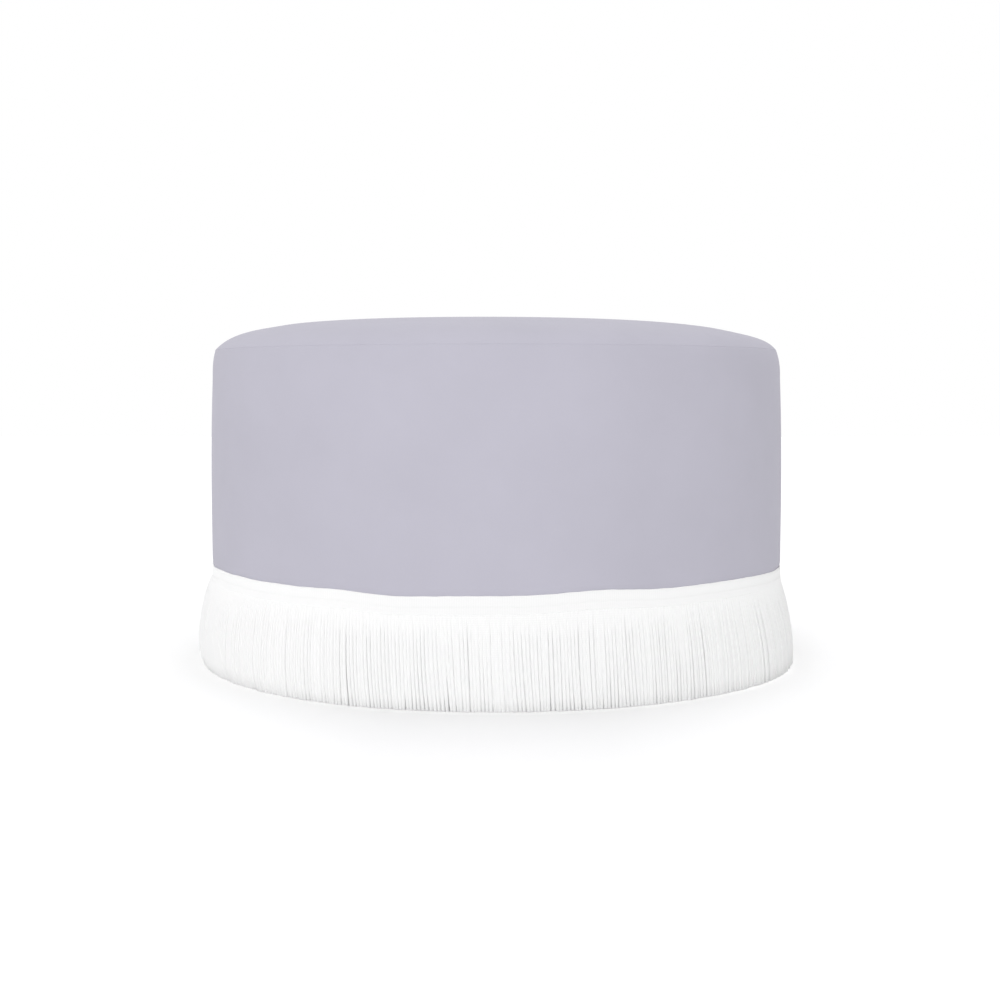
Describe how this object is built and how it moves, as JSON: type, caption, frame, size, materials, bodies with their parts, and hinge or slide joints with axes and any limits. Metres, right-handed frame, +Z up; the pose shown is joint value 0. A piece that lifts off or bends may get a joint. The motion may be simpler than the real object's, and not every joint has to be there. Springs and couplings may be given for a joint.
{
  "type": "ottoman",
  "caption": "Round drum ottoman: crowned pale lavender-grey fabric seat and side band on a wooden drum frame, with a white strand fringe hung round its base",
  "frame": {"origin": "on the floor under the centre of the seat, level with the underside of the felt foot pads", "axes": "+Z up to the crown, -Y to the front (the side in the picture), +X to the right of the front"},
  "size_m": [0.7964, 0.7964, 0.445],
  "materials": {
    "cover_fabric": "flat soft pile, pale lavender grey",
    "fringe_heading": "woven white braid, matt",
    "fringe_cord": "soft white twisted cord",
    "foam": "open-cell cushion foam",
    "wadding": "lofted polyester fibre",
    "hessian": "open plain weave jute",
    "webbing": "woven elastic strap",
    "dust_cloth": "black non-woven cloth",
    "felt": "pressed wool felt",
    "plywood": "bare plywood",
    "pine": "planed bare pine",
    "foot_plastic": "moulded black plastic",
    "screw_steel": "zinc-plated steel",
    "staple_steel": "galvanised wire"
  },
  "bodies": {
    "root": {"base_ring": "plywood", "base_screws": "screw_steel", "cover_band_back": "cover_fabric", "cover_band_front": "cover_fabric", "cover_top": "cover_fabric", "drum_wall": "plywood", "dust_cloth": "dust_cloth", "dust_cloth_staples": "staple_steel", "foot_1": "foot_plastic", "foot_2": "foot_plastic", "foot_3": "foot_plastic", "foot_4": "foot_plastic", "foot_pad_1": "felt", "foot_pad_2": "felt", "foot_pad_3": "felt", "foot_pad_4": "felt", "foot_screws": "screw_steel", "fringe_heading": "fringe_heading", "fringe_strands_1": "fringe_cord", "fringe_strands_10": "fringe_cord", "fringe_strands_11": "fringe_cord", "fringe_strands_12": "fringe_cord", "fringe_strands_2": "fringe_cord", "fringe_strands_3": "fringe_cord", "fringe_strands_4": "fringe_cord", "fringe_strands_5": "fringe_cord", "fringe_strands_6": "fringe_cord", "fringe_strands_7": "fringe_cord", "fringe_strands_8": "fringe_cord", "fringe_strands_9": "fringe_cord", "hem_staples": "staple_steel", "seat_foam": "foam", "seat_hessian": "hessian", "seat_wadding": "wadding", "side_wrap": "foam", "top_ring": "plywood", "top_screws": "screw_steel", "upright_1": "pine", "upright_2": "pine", "upright_3": "pine", "upright_4": "pine", "upright_5": "pine", "upright_6": "pine", "upright_7": "pine", "upright_8": "pine", "wall_staples": "staple_steel", "webbing_across_1": "webbing", "webbing_across_2": "webbing", "webbing_across_3": "webbing", "webbing_across_4": "webbing", "webbing_lengthways_1": "webbing", "webbing_lengthways_2": "webbing", "webbing_lengthways_3": "webbing", "webbing_lengthways_4": "webbing", "webbing_staples": "staple_steel"}
  },
  "joints": []
}
